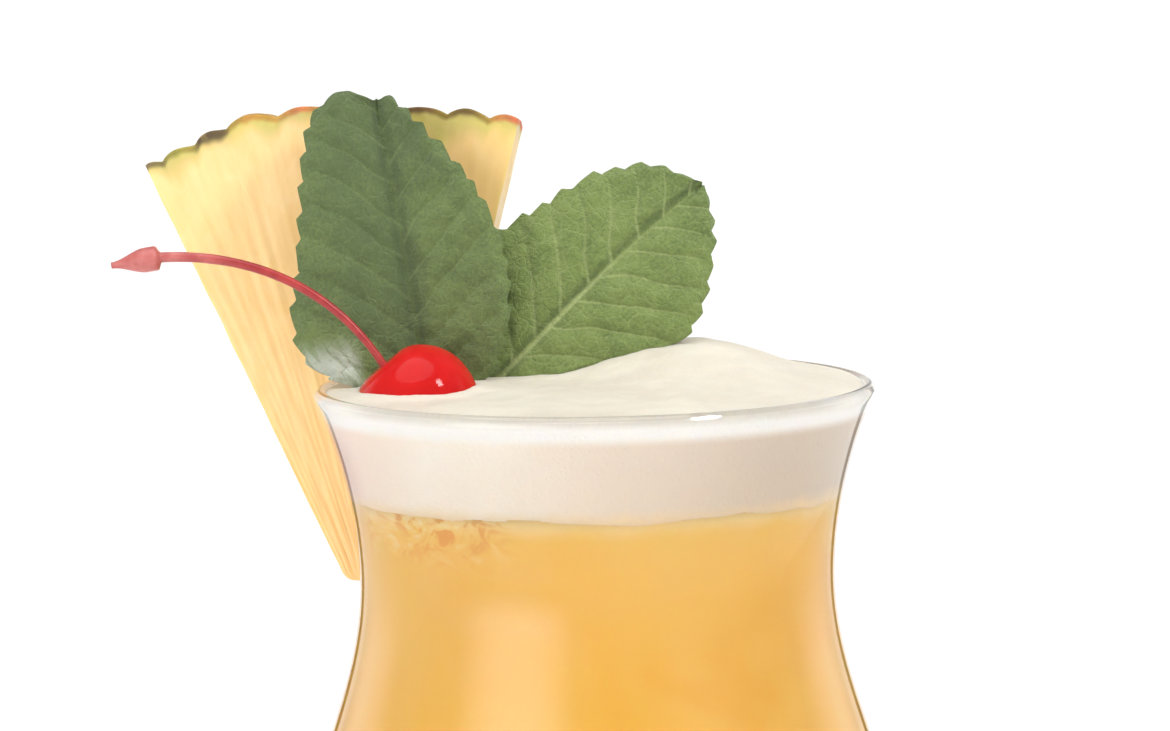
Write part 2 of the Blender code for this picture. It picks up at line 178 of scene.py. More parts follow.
LEAF_RIGHT = {
    "midrib": (
        Vector((-15.6, 5.4, -2.0)),
        Vector((-5.3, 5.6, 8.6)),
        Vector((5.4, 6.8, 19.4)),
        Vector((15.9, 9.6, 27.2)),
    ),
    "facing": Vector((-0.05, -1.0, 0.2)),
    "margins": (
        (
            (0.0, 0.6), (0.05, 6.0), (0.13, 11.0), (0.22, 14.0), (0.32, 15.3), (0.42, 15.1),
            (0.5, 14.1), (0.58, 13.3), (0.66, 12.7), (0.74, 11.8), (0.81, 10.2), (0.87, 8.7),
            (0.93, 6.2), (0.965, 3.4), (0.99, 1.3), (1.005, 0.3),
        ),
        (
            (0.0, 0.6), (0.05, 1.4), (0.1, 3.2), (0.16, 5.2), (0.25, 7.7), (0.335, 9.9),
            (0.41, 12.4), (0.5, 14.4), (0.58, 15.1), (0.66, 14.6), (0.735, 13.1), (0.81, 10.8),
            (0.88, 8.4), (0.94, 5.4), (0.985, 2.2), (1.005, 0.3),
        ),
    ),
    "folds": (math.radians(-3), math.radians(8)),
    "wave": 0.7,
    "teeth": 15,
    "veins": 0.9,
    "crease": (0.4, 0.0),
    "rib": (1.3, 0.95),
}

WORLD_LIGHT = 0.44
HORIZON_LIGHT = 1.03
COVE_RADIUS = 3.2
COVE_HEIGHT = 1.6
FLOOR_DROP = 0.4 * MM  # the foot stays clear of the floor, or its glass turns black

# The photograph's frame in pixels, the rim's outer width in it, and where the rim's centre lies.
FRAME_WIDTH, FRAME_HEIGHT = 1170, 731
RIM_PIXELS = 564
RIM_WIDTH = 80 * MM
RIM_CENTRE_PIXEL = (594.3, 383.0)
CAMERA_DISTANCE = 0.60
CAMERA_ELEVATION = math.radians(6.66)
CAMERA_ROLL = math.radians(0.9)
SENSOR_WIDTH = 36


def linear(red, green, blue):
    """The linear colour of 8-bit display values."""
    values = []
    for level in (red, green, blue):
        level /= 255
        values.append(level / 12.92 if level <= 0.04045 else ((level + 0.055) / 1.055) ** 2.4)
    return (*values, 1.0)


def spread(low, high, count):
    return [low + (high - low) * i / (count - 1) for i in range(count)]


def clamp(x):
    return min(1.0, max(0.0, x))


def smoothstep(low, high, x):
    t = clamp((x - low) / (high - low))
    return t * t * (3 - 2 * t)


def bezier(points, u):
    """The place and the heading on a cubic curve through four control points."""
    a, b, c, d = points
    w = 1.0 - u
    place = a * w**3 + b * (3 * w * w * u) + c * (3 * w * u * u) + d * u**3
    heading = (b - a) * (w * w) + (c - b) * (2 * w * u) + (d - c) * (u * u)
    return place, heading.normalized()


# Materials.


class Paint:
    """A material with a Principled shader, and short ways to add the nodes that feed it.

    A value is a number, a colour or another node's output. In the names of the shader's settings an
    underscore stands for a space."""

    def __init__(self, name, **settings):
        self.material = bpy.data.materials.new(name)
        self.material.use_nodes = True
        self.tree = self.material.node_tree
        self.shader = self.tree.nodes["Principled BSDF"]
        self.set(**settings)

    def node(self, kind, inputs=(), **settings):
        made = self.tree.nodes.new("ShaderNode" + kind)
        for key, value in settings.items():
            setattr(made, key, value)
        for key, value in dict(inputs).items():
            self.feed(made.inputs[key], value)
        return made

    def feed(self, socket, value):
        if isinstance(value, bpy.types.NodeSocket):
            self.tree.links.new(value, socket)
        else:
            socket.default_value = value

    def place(self):
        return self.node("TexCoord").outputs["Object"]

    def uv(self):
        return self.node("UVMap").outputs["UV"]

    def attribute(self, name):
        return self.node("Attribute", attribute_name=name).outputs["Fac"]

    def scaled(self, vector, scale, location=(0, 0, 0), rotation=(0, 0, 0)):
        inputs = {"Vector": vector, "Scale": scale, "Location": location, "Rotation": rotation}
        return self.node("Mapping", inputs).outputs["Vector"]

    def noise(self, vector, scale, detail=3.0, rough=0.5, distortion=0.0):
        inputs = {"Vector": vector, "Scale": scale, "Detail": detail}
        inputs.update({"Roughness": rough, "Distortion": distortion})
        return self.node("TexNoise", inputs).outputs["Fac"]

    def voronoi(self, vector, scale, feature="F1"):
        inputs = {"Vector": vector, "Scale": scale}
        return self.node("TexVoronoi", inputs, feature=feature).outputs["Distance"]

    def maths(self, operation, a, b, clamped=False):
        made = self.node("Math", {0: a, 1: b}, operation=operation, use_clamp=clamped)
        return made.outputs[0]

    def times(self, a, b):
        return self.maths("MULTIPLY", a, b)

    def plus(self, a, b, clamped=False):
        return self.maths("ADD", a, b, clamped)

    def vector_maths(self, operation, inputs):
        return self.node("VectorMath", inputs, operation=operation)

    def ramp(self, value, low, high, to_low=0.0, to_high=1.0):
        inputs = {"Value": value, "From Min": low, "From Max": high}
        inputs.update({"To Min": to_low, "To Max": to_high})
        return self.node("MapRange", inputs, interpolation_type="SMOOTHSTEP").outputs["Result"]

    def mix(self, factor, a, b):
        made = self.node("Mix", data_type="RGBA")
        self.feed(made.inputs["Factor"], factor)
        self.feed(made.inputs["A"], a)
        self.feed(made.inputs["B"], b)
        return made.outputs["Result"]

    def split(self, vector):
        made = self.node("SeparateXYZ", {"Vector": vector})
        return made.outputs["X"], made.outputs["Y"], made.outputs["Z"]

    def bump(self, height, strength, distance, normal=None):
        inputs = {"Height": height, "Strength": strength, "Distance": distance}
        if normal is not None:
            inputs["Normal"] = normal
        return self.node("Bump", inputs).outputs["Normal"]

    def set(self, **inputs):
        for key, value in inputs.items():
            self.feed(self.shader.inputs[key.replace("_", " ")], value)
        return self

    def soften(self, weight, radius, scale):
        """Lets light a little way in: for red, green and blue the radius times the scale."""
        self.set(Subsurface_Weight=weight, Subsurface_Radius=radius, Subsurface_Scale=scale)

    def shine(self, strength):
        """Makes it give light of that strength, in place of the Principled shader."""
        self.tree.nodes.remove(self.shader)
        light = self.node("Emission", {"Strength": strength})
        self.tree.links.new(light.outputs[0], self.tree.nodes["Material Output"].inputs["Surface"])
        return self.material


def glass_paint():
    paint = Paint("clear glass", Base_Color=(1, 1, 1, 1), Roughness=0.0, IOR=1.47)
    paint.set(Transmission_Weight=1.0)
    ripple = paint.noise(paint.place(), 60.0, 2.0)
    return paint.set(Normal=paint.bump(ripple, 0.02, 0.001)).material


def juice_paint():
    paint = Paint("juice", Roughness=0.25, IOR=1.35)
    paint.soften(0.35, (1.0, 0.55, 0.2), 0.006)
    place = paint.place()
    x, _, z = paint.split(place)
    cloud = paint.noise(paint.scaled(place, (1, 1, 0.45)), 38.0, 3.0, 0.55, 0.6)
    base = paint.mix(paint.ramp(cloud, 0.3, 0.7), linear(248, 196, 75), linear(249, 203, 98))
    shifted = paint.scaled(place, (1, 1, 1.3), location=(0.3, 0.1, 0))
    depth = paint.noise(shifted, 26.0, 2.0, 0.5, 0.7)
    base = paint.mix(paint.ramp(depth, 0.52, 0.66, 0.0, 0.6), base, linear(242, 186, 58))
    base = paint.mix(paint.ramp(depth, 0.46, 0.3, 0.0, 0.5), base, linear(250, 203, 112))
    # paler where it meets the foam
    uneven = paint.ramp(paint.noise(place, 150.0, 3.0), 0.2, 0.8, -0.6 * MM, 0.6 * MM)
    ragged = paint.plus(z, uneven)
    meeting = paint.ramp(ragged, JUICE_LEVEL - 2.2 * MM, JUICE_LEVEL + 0.6 * MM, 0.0, 0.75)
    base = paint.mix(meeting, base, linear(255, 216, 148))
    # froth drawn down from the foam at the left
    near_top = paint.ramp(z, JUICE_LEVEL - 8 * MM, JUICE_LEVEL - 1.5 * MM)
    left = paint.times(paint.ramp(x, -33 * MM, -26 * MM), paint.ramp(x, -9 * MM, -18 * MM))
    drawn = paint.times(near_top, left)
    curl = paint.noise(paint.scaled(place, (1, 1, 1.7)), 170.0, 4.0, 0.6, 2.2)
    pale = paint.times(paint.ramp(curl, 0.5, 0.68, 0.0, 0.6), drawn)
    base = paint.mix(pale, base, linear(255, 228, 170))
    dark = paint.times(paint.ramp(curl, 0.5, 0.36, 0.0, 0.85), drawn)
    base = paint.mix(dark, base, linear(238, 158, 60))
    return paint.set(Base_Color=base).material


def foam_paint():
    paint = Paint("foam", Roughness=0.55, IOR=1.33)
    paint.soften(0.4, (1.0, 0.8, 0.55), 0.003)
    place = paint.place()
    x, y, z = paint.split(place)
    cloud = paint.noise(place, 70.0, 4.0, 0.6, 0.4)
    top = paint.mix(paint.ramp(cloud, 0.3, 0.7), linear(201, 193, 178), linear(212, 206, 191))
    # painted light: seen through the wall it gets less light than the top, so it is painted lighter there
    side = paint.mix(paint.ramp(cloud, 0.3, 0.7), linear(254, 241, 226), linear(255, 244, 232))
    # painted shade: darker towards the right, away from the light, and a little darker and pinker at the far
    # left
    side = paint.mix(paint.ramp(x, -16 * MM, 4 * MM, 0.0, 0.8), side, linear(237, 222, 204))
    side = paint.mix(paint.ramp(x, 0.0, 32 * MM, 0.0, 0.8), side, linear(212, 195, 173))
    side = paint.mix(paint.ramp(x, -22 * MM, -36 * MM, 0.0, 0.7), side, linear(244, 216, 200))
    # painted light: a paler band just under the rim, where light comes in from above through the lip
    rim_light_band = paint.ramp(z, GLASS_HEIGHT - 4.4 * MM, GLASS_HEIGHT - 2.6 * MM)
    side = paint.mix(rim_light_band, side, linear(255, 253, 249))
    uneven = paint.ramp(paint.noise(place, 160.0, 3.0), 0.2, 0.8, -0.5 * MM, 0.5 * MM)
    low = paint.ramp(paint.plus(z, uneven), JUICE_LEVEL + 3.0 * MM, JUICE_LEVEL - 0.2 * MM)
    side = paint.mix(paint.times(low, 0.85), side, linear(255, 222, 168))
    # a faint painted reflection of the cherry, a reddish streak in the wall at the left
    turn = paint.maths("ARCTAN2", x, paint.times(y, -1.0))
    band = paint.times(paint.ramp(turn, -1.75, -1.5), paint.ramp(turn, -1.1, -1.36))
    band = paint.times(band, paint.ramp(z, GLASS_HEIGHT - 17 * MM, GLASS_HEIGHT - 11 * MM))
    band = paint.times(band, paint.ramp(z, GLASS_HEIGHT - 3 * MM, GLASS_HEIGHT - 7 * MM))
    side = paint.mix(paint.times(band, 0.4), side, linear(196, 130, 112))
    base = paint.mix(paint.attribute("side"), top, side)
    fine = paint.voronoi(place, 1500.0)
    coarse = paint.voronoi(place, 520.0)
    small = paint.ramp(fine, 0.1, 0.5, 0.0, 0.4)
    pits = paint.plus(small, paint.ramp(coarse, 0.0, 0.3, 0.0, 0.35))
    normal = paint.bump(pits, 0.35, 0.0003, paint.bump(cloud, 0.25, 0.001))
    return paint.set(Base_Color=base, Normal=normal).material


def pineapple_paint():
    """Painted in the slice's own frame: x across, y from the core to the rind, z through it."""
    paint = Paint("pineapple", Roughness=0.32, IOR=1.4)
    paint.soften(0.25, (1.0, 0.7, 0.25), 0.003)
    place = paint.place()
    x, y, z = paint.split(place)
    angle = paint.maths("ARCTAN2", x, y)
    flat = paint.node("CombineXYZ", {"X": x, "Y": y}).outputs[0]
    reach = paint.vector_maths("LENGTH", {0: flat}).outputs["Value"]
    round_arc = paint.times(angle, 0.06)
    polar = paint.node("CombineXYZ", {"X": round_arc, "Y": reach, "Z": z}).outputs[0]
    fibres = paint.noise(paint.scaled(polar, (7, 1, 3)), 60.0, 4.0, 0.6, 0.5)
    cells = paint.noise(paint.scaled(polar, (1.6, 1, 1)), 90.0, 3.0, 0.55, 0.8)
    flesh = paint.mix(paint.ramp(fibres, 0.3, 0.7), linear(238, 198, 133), linear(243, 205, 143))
    flesh = paint.mix(paint.ramp(cells, 0.5, 0.78, 0.0, 0.4), flesh, linear(249, 219, 168))
    flesh = paint.mix(paint.ramp(cells, 0.45, 0.25, 0.0, 0.4), flesh, linear(236, 188, 114))
    ripe = paint.noise(polar, 34.0, 3.0, 0.6, 0.6)
    flesh = paint.mix(paint.ramp(ripe, 0.48, 0.7, 0.0, 0.2), flesh, linear(238, 196, 122))
    core = paint.ramp(reach, 34 * MM, 12 * MM)
    flesh = paint.mix(paint.times(core, 0.5), flesh, linear(243, 208, 150))
    # darker towards the slice's right edge
    side = paint.ramp(x, 12 * MM, 26 * MM)
    flesh = paint.mix(paint.times(side, 0.5), flesh, linear(228, 196, 116))
    mottle = paint.noise(polar, 170.0, 4.0, 0.65, 0.4)
    green = paint.mix(paint.ramp(mottle, 0.35, 0.65), linear(172, 168, 84), linear(204, 192, 104))
    shown = paint.times(paint.attribute("green"), paint.ramp(mottle, 0.2, 0.6, 0.55, 0.95))
    flesh = paint.mix(shown, flesh, green)
    skin = paint.node("Attribute", attribute_name="skin").outputs["Color"]
    skin = paint.mix(paint.ramp(mottle, 0.62, 0.35, 0.0, 0.45), skin, linear(92, 74, 50))
    skin = paint.mix(paint.ramp(mottle, 0.55, 0.75, 0.0, 0.5), skin, linear(190, 172, 96))
    base = paint.mix(paint.attribute("rind"), flesh, skin)
    height = paint.plus(fibres, paint.times(cells, 0.8))
    rough = paint.ramp(mottle, 0.3, 0.7, 0.28, 0.45)
    rough = paint.plus(rough, paint.ramp(paint.attribute("rind"), 0.0, 1.0, 0.0, 0.35))
    normal = paint.bump(height, 0.2, 0.0006)
    return paint.set(Base_Color=base, Roughness=rough, Normal=normal).material


def cherry_paint():
    paint = Paint("cherry", Roughness=0.08, IOR=1.42)
    paint.set(Specular_IOR_Level=0.15)
    paint.soften(0.25, (1.0, 0.15, 0.1), 0.003)
    place = paint.place()
    mottle = paint.noise(place, 160.0, 3.0, 0.5, 0.4)
    base = paint.mix(paint.ramp(mottle, 0.3, 0.7), linear(184, 25, 25), linear(196, 33, 32))
    return paint.set(Base_Color=base, Normal=paint.bump(mottle, 0.06, 0.0008)).material


def stem_paint():
    paint = Paint("cherry stem", Roughness=0.35, IOR=1.45)
    place = paint.place()
    x, _, _ = paint.split(place)
    mottle = paint.noise(place, 300.0, 3.0, 0.6)
    near = paint.mix(paint.ramp(mottle, 0.3, 0.7), linear(140, 28, 33), linear(168, 52, 49))
    far = paint.mix(paint.ramp(mottle, 0.3, 0.7), linear(168, 78, 75), linear(188, 110, 104))
    base = paint.mix(paint.ramp(x, -46 * MM, -62 * MM), near, far)
    return paint.set(Base_Color=base, Normal=paint.bump(mottle, 0.2, 0.0004)).material


def mint_paint(name, dark, light, vein, lace, foam_and_sheen=0.0):
    """Painted in the blade's flat frame, in units of LEAF_SHEET. Veins, painted light and shade, and the
    painted shadow beside the midrib are the mesh's.
    """
    paint = Paint(name, Roughness=0.62, IOR=1.4)
    paint.soften(0.06, (0.4, 1.0, 0.2), 0.001)
    paint.set(Sheen_Weight=0.12, Sheen_Roughness=0.5)
    flat = paint.uv()
    wobble = paint.node("TexNoise", {"Vector": flat, "Scale": 30.0, "Detail": 2.0}).outputs["Color"]
    wobble = paint.vector_maths("SUBTRACT", {0: wobble, 1: (0.5, 0.5, 0.5)}).outputs[0]
    wobble = paint.vector_maths("SCALE", {0: wobble, "Scale": 0.03}).outputs[0]
    bent = paint.vector_maths("ADD", {0: flat, 1: wobble}).outputs[0]
    cloud = paint.noise(flat, 11.0, 4.0, 0.65, 0.4)
    fine = paint.noise(flat, 120.0, 4.0, 0.75)
    # the mesh's painted light and shade, with tone that differs at random, picks between the dark and the
    # light green
    light_and_tone = paint.plus(paint.attribute("light_and_tone"), paint.ramp(cloud, 0.25, 0.75, -0.35, 0.35))
    light_and_tone = paint.plus(light_and_tone, paint.ramp(fine, 0.3, 0.7, -0.55, 0.55), clamped=True)
    base = paint.mix(light_and_tone, dark, light)
    net = paint.voronoi(bent, 30.0, "DISTANCE_TO_EDGE")
    small = paint.voronoi(bent, 78.0, "DISTANCE_TO_EDGE")
    net_lines = paint.ramp(net, 0.12, 0.0, 0.0, 0.7)
    lines = paint.plus(net_lines, paint.ramp(small, 0.16, 0.0, 0.0, 0.35))
    shown = paint.times(lines, paint.ramp(cloud, 0.3, 0.65, 0.3 * lace, lace))
    base = paint.mix(shown, base, vein)
    # painted shadow in the crease beside the midrib
    base = paint.mix(paint.attribute("shade"), base, linear(62, 76, 44))
    veins = paint.times(paint.attribute("vein"), paint.ramp(fine, 0.2, 0.6, 0.4, 0.85))
    base = paint.mix(veins, base, vein)
    if foam_and_sheen:
        # pale streaks low on the blade, at its left: foam on the leaf, with a painted sheen where the curled
        # lobe catches the light
        u, v, _ = paint.split(flat)
        turned = paint.scaled(flat, (1, 1, 1), rotation=(0, 0, -0.6))
        streaks = paint.noise(paint.scaled(turned, (1, 0.22, 1)), 70.0, 3.0, 0.55, 0.4)
        inside = paint.times(paint.ramp(u, 0.37, 0.32), paint.ramp(v, 0.22, 0.13))
        inside = paint.times(inside, paint.ramp(streaks, 0.38, 0.53, 0.5, foam_and_sheen))
        base = paint.mix(inside, base, linear(228, 238, 222))
    down = paint.noise(flat, 260.0, 4.0, 0.8)
    height = paint.maths("SUBTRACT", paint.times(down, 0.9), paint.times(lines, 0.5))
    return paint.set(Base_Color=base, Normal=paint.bump(height, 1.0, 0.0006)).material


# Shapes.


def add_object(name, mesh, *materials):
    item = bpy.data.objects.new(name, mesh)
    bpy.context.scene.collection.objects.link(item)
    for finish in materials:
        mesh.materials.append(finish)
    mesh.shade_smooth()
    return item


def settle(item, node):
    """The piece rides on the root and stands for its solid."""
    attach(item, "root")
    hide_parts(node)


def mesh_of(body, name):
    mesh = bpy.data.meshes.new(name)
    body.to_mesh(mesh)
    body.free()
    return mesh


def turns(steps):
    return [2 * math.pi * k / steps for k in range(steps)]


def level_ring(body, radius, height, steps):
    return [
        body.verts.new((radius * math.cos(a), radius * math.sin(a), height)) for a in turns(steps)
    ]


def join_rings(body, low, high):
    """The faces between two rings of as many points, one of which may be a single point."""
    steps = max(len(low), len(high))
    for k in range(steps):
        n = (k + 1) % steps
        if len(low) == 1:
            body.faces.new((low[0], high[n], high[k]))
        elif len(high) == 1:
            body.faces.new((low[k], low[n], high[0]))
        else:
            body.faces.new((low[k], low[n], high[n], high[k]))


def turned_mesh(name, profile, steps):
    """A closed surface of revolution. The profile starts and ends on the axis."""
    body = bmesh.new()
    rings = []
    for radius, height in profile:
        if radius == 0:
            rings.append([body.verts.new((0, 0, height))])
        else:
            rings.append(level_ring(body, radius, height, steps))
    for low, high in zip(rings, rings[1:]):
        join_rings(body, low, high)
    bmesh.ops.recalc_face_normals(body, faces=body.faces)
    return mesh_of(body, name)


def outer_radius(height):
    if height >= WAIST_HEIGHT:
        share = (height - WAIST_HEIGHT) / (GLASS_HEIGHT - WAIST_HEIGHT)
        return WAIST_RADIUS + (RIM_RADIUS - WAIST_RADIUS) * share**RIM_FLARE
    if height >= BELLY_HEIGHT:
        share = (WAIST_HEIGHT - height) / (WAIST_HEIGHT - BELLY_HEIGHT)
        return WAIST_RADIUS + (BELLY_RADIUS - WAIST_RADIUS) * (1 - math.cos(math.pi * share)) / 2
    share = max(0.0, height - BOWL_FOOT_HEIGHT) / (BELLY_HEIGHT - BOWL_FOOT_HEIGHT)
    return STEM_RADIUS + (BELLY_RADIUS - STEM_RADIUS) * math.sin(math.pi / 2 * share) ** BOWL_TAPER


def inner_radius(height):
    step = 0.5 * MM
    slope = (outer_radius(height) - outer_radius(height - step)) / step
    wall = WALL * math.sqrt(1 + slope * slope)
    rise = clamp((height - BOWL_FLOOR) / FLOOR_ROUNDING)
    return (outer_radius(height) - wall) * math.sqrt(1 - (1 - rise) ** 2)


def wall_heights(top):
    heights = [BOWL_FLOOR + FLOOR_ROUNDING * share for share in (0.01, 0.04, 0.1, 0.2, 0.35, 0.55, 0.8)]
    heights += spread(BOWL_FLOOR + 10 * MM, GLASS_HEIGHT, 90)
    return [h for h in heights if h < top - 0.4 * MM] + [top]


def make_glass():
    lip = WALL / 2
    lip_height = GLASS_HEIGHT - lip
    inner = [(inner_radius(h), h) for h in wall_heights(lip_height)]
    centre = inner[-1][0] + lip
    arc = [
        (centre - lip * math.cos(a), lip_height + lip * math.sin(a)) for a in spread(0, math.pi, 15)[1:-1]
    ]
    outer = [(outer_radius(h), h) for h in spread(lip_height, BOWL_FOOT_HEIGHT, 110)]
    foot = []
    for share in spread(0, 1, 28):
        radius = STEM_RADIUS + (FOOT_RADIUS - STEM_RADIUS) * share
        height = FOOT_EDGE + (STEM_FOOT_HEIGHT - FOOT_EDGE) * (1 - share) ** FOOT_FLARE
        foot.append((radius, height))
    edge = [
        (FOOT_RADIUS + FOOT_BEVEL * 0.45, FOOT_EDGE - FOOT_BEVEL * 0.4),
        (FOOT_RADIUS + FOOT_BEVEL * 0.6, FOOT_EDGE - FOOT_BEVEL),
        (FOOT_RADIUS + FOOT_BEVEL * 0.5, FOOT_BEVEL),
        (FOOT_RADIUS + FOOT_BEVEL * 0.1, FOOT_BEVEL * 0.3),
        (FOOT_RADIUS - FOOT_BEVEL, 0.0),
    ]
    profile = [(0.0, BOWL_FLOOR)] + inner + arc + outer + foot + edge + [(0.0, 0.0)]
    item = add_object("glass_body", turned_mesh("glass_body", profile, TURN_STEPS), glass_paint())
    settle(item, "glass")


def boundary_wave(x, y):
    """How far the foam's lower edge stands above the juice's level, round the glass."""
    slow = noise.noise(Vector((x, y, 0.0)) / (22 * MM))
    fast = noise.noise(Vector((x, y, 0.3)) / (5 * MM))
    return (0.35 * slow + 0.1 * fast) * MM


def make_juice():
    top = JUICE_LEVEL + JUICE_LAP
    side = [(inner_radius(h) + INTO_WALL, h) for h in wall_heights(top)]
    profile = [(0.0, BOWL_FLOOR - INTO_WALL)] + side + [(0.0, top)]
    item = add_object("juice_body", turned_mesh("juice_body", profile, TURN_STEPS), juice_paint())
    settle(item, "juice")


def foam_rise(x, y):
    reach = min(1.0, math.hypot(x, y) / RIM_RADIUS)
    east = (x - MOUND_CENTRE[0]) / MOUND_SPREAD[0]
    north = (y - MOUND_CENTRE[1]) / MOUND_SPREAD[1]
    mound = MOUND_HEIGHT * math.exp(-(east * east + north * north))
    return FOAM_CROWN * (1 - reach**4) - FOAM_EDGE_DROP + mound


def foam_detail(x, y):
    """Soft swells, and foam drawn up round the cherry."""
    place = Vector((x, y, 0.0))
    swell = 0.35 * noise.noise(place / (9 * MM)) + 0.16 * noise.noise(place / (3.2 * MM))
    swell += 0.06 * noise.noise(place / (1.1 * MM))
    ring = (math.hypot(x - CHERRY_CENTRE.x, y - CHERRY_CENTRE.y) - CHERRY_RADIUS) / (1.3 * MM)
    return (swell + 0.45 * math.exp(-ring * ring)) * MM


def make_foam():
    top = GLASS_HEIGHT - FOAM_EDGE_DROP
    edge = inner_radius(GLASS_HEIGHT - WALL / 2) + INTO_WALL
    heights = [JUICE_LEVEL + step * MM for step in (0.0, 0.2, 0.4, 0.6, 0.9)]
    heights += spread(JUICE_LEVEL + 1.4 * MM, GLASS_HEIGHT - 2 * MM, 24)
    side = []
    for h in heights:
        tuck = FOAM_TUCK * (1 - smoothstep(0.0, FOAM_TUCK_HEIGHT, h - JUICE_LEVEL))
        side.append((inner_radius(h) + INTO_WALL + FOAM_OVER_WALL - tuck, h))
    surface = [(edge * math.sin(math.pi / 2 * share), top) for share in spread(1, 0, 90)]
    profile = [(0.0, JUICE_LEVEL)] + side + surface
    mesh = turned_mesh("foam_body", profile, FOAM_TURN_STEPS)
    side_layer = mesh.attributes.new("side", "FLOAT", "POINT")
    for vertex in mesh.vertices:
        x, y, z = vertex.co
        if z > top - 0.05 * MM:
            fade = smoothstep(1.0, 0.9, math.hypot(x, y) / edge)
            vertex.co.z = GLASS_HEIGHT + foam_rise(x, y) + foam_detail(x, y) * (0.3 + 0.7 * fade)
        else:
            side_layer.data[vertex.index].value = 1.0
            near_juice = smoothstep(3.5 * MM, FOAM_TUCK_HEIGHT, z - JUICE_LEVEL)
            vertex.co.z += boundary_wave(x, y) * near_juice
    item = add_object("foam_body", mesh, foam_paint())
    settle(item, "foam")


def rind_radius(share):
    for (low, notch, top), (high, next_notch, _) in zip(RIND_EYES, RIND_EYES[1:]):
        if share <= high:
            inside = (share - low) / (high - low)
            floor = notch + (next_notch - notch) * inside
            lift = max(0.0, math.sin(math.pi * inside)) ** 0.7
            return SLICE_RADIUS + (floor + (top - floor) * lift) * MM
    return SLICE_RADIUS + RIND_EYES[-1][1] * MM


def skin_at(share):
    """The rind's linear colour at a share of the arc, and the depth of the green under it."""
    for low, high in zip(SKIN, SKIN[1:]):
        if share <= high[0]:
            t = smoothstep(low[0], high[0], share)
            colour = [a + (b - a) * t for a, b in zip(low[1], high[1])]
            return linear(*colour), (low[2] + (high[2] - low[2]) * t) * MM
    return linear(*SKIN[-1][1]), SKIN[-1][2] * MM


def wedge_point(share, climb, z):
    """A point of the slice, at a share of its arc and of the way from core to rind.

    Gives x and y, how far its surface stands out there, and its paint values.
    """
    skin, green_depth = skin_at(share)
    rind = rind_radius(share) + RIND_BULGE * (1 - (2 * z / WEDGE_THICKNESS) ** 2)
    rind += RIND_TILT * z / WEDGE_THICKNESS - RIND_DROP
    rind += 0.3 * MM * noise.noise(Vector((share * 16, z / (4 * MM), 1.7)))
    r = CORE_RADIUS + (rind - CORE_RADIUS) * (1 - (1 - climb) ** 1.15)
    turn = WEDGE_HALF_ANGLE * (2 * share - 1)
    from_core = (r - CORE_RADIUS) / CORE_ROUNDING
    if from_core < 1:
        turn *= 1 - CORE_NARROWING + CORE_NARROWING * math.sqrt(1 - (1 - from_core) ** 2)
    fibre = noise.noise(Vector((turn * 60, r / (16 * MM), z / (3 * MM))))
    pit = noise.noise(Vector((turn * 26, r / (5 * MM), z / (3 * MM) + 4.0)))
    relief = (0.1 * fibre + 0.14 * pit) * MM
    below = rind - r
    ragged = 1 + 0.5 * noise.noise(Vector((share * 40, 0.0, z / (3 * MM))))
    ragged += 0.9 * math.exp(-(((share - 0.19) / 0.035) ** 2))
    streak = 1 + 0.7 * noise.noise(Vector((share * 22, z / (6 * MM), 7.0)))
    paint = {
        "rind": smoothstep(1.25 * MM * ragged, 0.45 * MM * ragged, below),
        "green": smoothstep(1.9 * green_depth * streak, 0.3 * green_depth, below),
        "skin": skin,
    }
    return r * math.sin(turn), r * math.cos(turn), relief, paint


def wedge_mesh(name):
    """Layers through the slice, each a fan from the core to the rind.

    The outer two are whole. Those between are outlines alone, and each is joined to the next.
    """
    across, along, layers = 170, 150, 17
    body = bmesh.new()
    paint_layers = {
        "rind": body.verts.layers.float.new("rind"),
        "green": body.verts.layers.float.new("green"),
        "skin": body.verts.layers.float_color.new("skin"),
    }
    grid = []
    for k in range(layers):
        outermost = k in (0, layers - 1)
        z = math.sin((-1 + 2 * k / (layers - 1)) * math.pi / 2) * WEDGE_THICKNESS / 2
        grid.append({})
        for j in range(along):
            for i in range(across):
                if not (outermost or i in (0, across - 1) or j in (0, along - 1)):
                    continue
                x, y, relief, paint = wedge_point(i / (across - 1), j / (along - 1), z)
                if i in (0, across - 1):
                    x += relief * (1 if i else -1)
                vert = body.verts.new((x, y, z + (relief if outermost else 0.0)))
                for key, value in paint.items():
                    vert[paint_layers[key]] = value
                grid[-1][j, i] = vert
    for j in range(along - 1):
        for i in range(across - 1):
            for g in (grid[0], grid[-1]):
                body.faces.new((g[j, i], g[j, i + 1], g[j + 1, i + 1], g[j + 1, i]))
    for a, b in zip(grid, grid[1:]):
        for j in range(along - 1):
            for i in (0, across - 1):
                body.faces.new((a[j, i], a[j + 1, i], b[j + 1, i], b[j, i]))
        for i in range(across - 1):
            for j in (0, along - 1):
                body.faces.new((a[j, i], a[j, i + 1], b[j, i + 1], b[j, i]))
    bmesh.ops.recalc_face_normals(body, faces=body.faces)
    return mesh_of(body, name)


def make_wedge():
    item = add_object("pineapple_body", wedge_mesh("pineapple_body"), pineapple_paint())
    upright = Matrix.Rotation(math.pi / 2, 4, "X")
    lean = Matrix.Rotation(-WEDGE_LEAN, 4, "Y")
    yaw = Matrix.Rotation(-WEDGE_YAW, 4, "Z")
    item.matrix_world = Matrix.Translation(WEDGE_APEX) @ yaw @ lean @ upright
    bevel = item.modifiers.new("soft edges", "BEVEL")
    bevel.width = 0.3 * MM
    bevel.segments = 2
    bevel.limit_method = "ANGLE"
    bevel.angle_limit = math.radians(50)
    settle(item, "pineapple_wedge")


